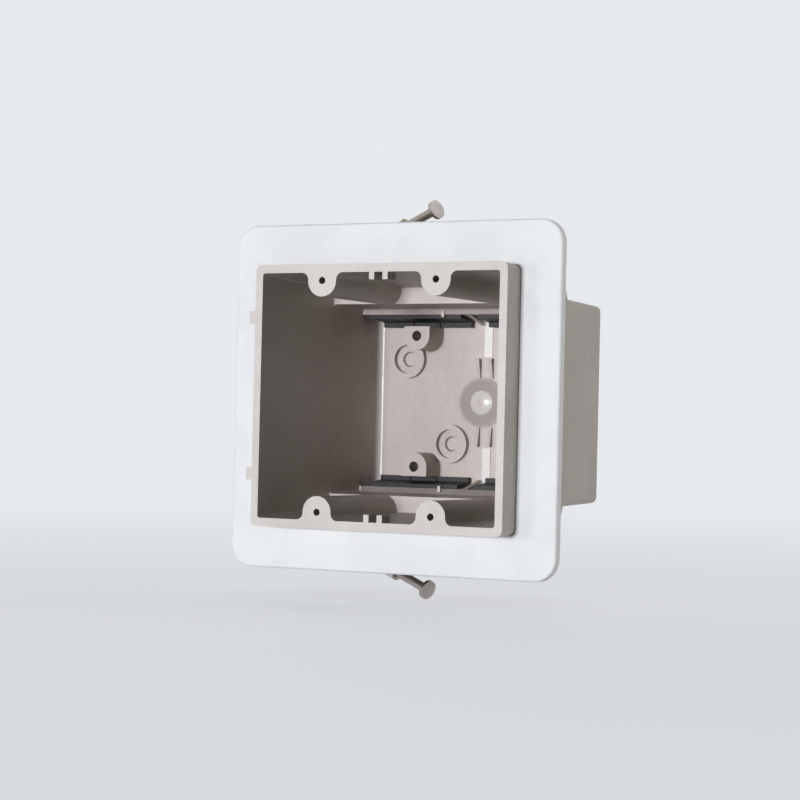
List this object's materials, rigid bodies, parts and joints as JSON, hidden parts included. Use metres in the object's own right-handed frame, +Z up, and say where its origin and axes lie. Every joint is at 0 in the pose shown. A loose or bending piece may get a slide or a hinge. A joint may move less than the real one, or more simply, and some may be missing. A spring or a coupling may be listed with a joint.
{
  "type": "two-gang electrical box",
  "caption": "Deep two-gang nail-on electrical box with a sealing flange, hinged cable tongues and captive nails in guides.",
  "frame": {"origin": "middle of the four device screw holes, in the plane of the collar's front face", "axes": "+X along the two gangs, away from the stud side; +Y from the front into the box; +Z up"},
  "size_m": [0.132, 0.0889, 0.1458],
  "materials": {
    "box_moulding": "moulded, slightly mottled",
    "seal": "matt closed-cell foam",
    "clamp_black": "satin",
    "nail_steel": "bright drawn wire"
  },
  "bodies": {
    "box": {"box_body": "box_moulding", "flange_gasket": "seal", "upper_left_clamp": "clamp_black", "upper_right_clamp": "clamp_black", "lower_left_clamp": "clamp_black", "lower_right_clamp": "clamp_black"},
    "upper_left_outer_tongue": {"upper_left_outer_tongue": "clamp_black"},
    "upper_left_inner_tongue": {"upper_left_inner_tongue": "clamp_black"},
    "upper_right_outer_tongue": {"upper_right_outer_tongue": "clamp_black"},
    "upper_right_inner_tongue": {"upper_right_inner_tongue": "clamp_black"},
    "lower_left_outer_tongue": {"lower_left_outer_tongue": "clamp_black"},
    "lower_left_inner_tongue": {"lower_left_inner_tongue": "clamp_black"},
    "lower_right_outer_tongue": {"lower_right_outer_tongue": "clamp_black"},
    "lower_right_inner_tongue": {"lower_right_inner_tongue": "clamp_black"},
    "upper_nail": {"upper_nail": "nail_steel"},
    "lower_nail": {"lower_nail": "nail_steel"}
  },
  "joints": [
    {"name": "upper_left_outer_tongue_hinge", "type": "hinge", "parent": "box", "child": "upper_left_outer_tongue", "pos_m": [-0.0356, 0.0752, 0.03203], "axis": [-1, 0, 0], "range_deg": [0, 50], "stiffness_Nm_per_rad": 0.05},
    {"name": "upper_left_inner_tongue_hinge", "type": "hinge", "parent": "box", "child": "upper_left_inner_tongue", "pos_m": [-0.0104, 0.0752, 0.03203], "axis": [-1, 0, 0], "range_deg": [0, 50], "stiffness_Nm_per_rad": 0.05},
    {"name": "upper_right_outer_tongue_hinge", "type": "hinge", "parent": "box", "child": "upper_right_outer_tongue", "pos_m": [0.0356, 0.0752, 0.03203], "axis": [-1, 0, 0], "range_deg": [0, 50], "stiffness_Nm_per_rad": 0.05},
    {"name": "upper_right_inner_tongue_hinge", "type": "hinge", "parent": "box", "child": "upper_right_inner_tongue", "pos_m": [0.0104, 0.0752, 0.03203], "axis": [-1, 0, 0], "range_deg": [0, 50], "stiffness_Nm_per_rad": 0.05},
    {"name": "lower_left_outer_tongue_hinge", "type": "hinge", "parent": "box", "child": "lower_left_outer_tongue", "pos_m": [-0.0356, 0.0752, -0.03203], "axis": [1, 0, 0], "range_deg": [0, 50], "stiffness_Nm_per_rad": 0.05},
    {"name": "lower_left_inner_tongue_hinge", "type": "hinge", "parent": "box", "child": "lower_left_inner_tongue", "pos_m": [-0.0104, 0.0752, -0.03203], "axis": [1, 0, 0], "range_deg": [0, 50], "stiffness_Nm_per_rad": 0.05},
    {"name": "lower_right_outer_tongue_hinge", "type": "hinge", "parent": "box", "child": "lower_right_outer_tongue", "pos_m": [0.0356, 0.0752, -0.03203], "axis": [1, 0, 0], "range_deg": [0, 50], "stiffness_Nm_per_rad": 0.05},
    {"name": "lower_right_inner_tongue_hinge", "type": "hinge", "parent": "box", "child": "lower_right_inner_tongue", "pos_m": [0.0104, 0.0752, -0.03203], "axis": [1, 0, 0], "range_deg": [0, 50], "stiffness_Nm_per_rad": 0.05},
    {"name": "upper_nail_slide", "type": "slide", "parent": "box", "child": "upper_nail", "axis": [-0.9047, 0.2628, -0.3355], "range_m": [0, 0.0152]},
    {"name": "lower_nail_slide", "type": "slide", "parent": "box", "child": "lower_nail", "axis": [-0.9047, 0.2628, 0.3355], "range_m": [0, 0.0152]}
  ]
}
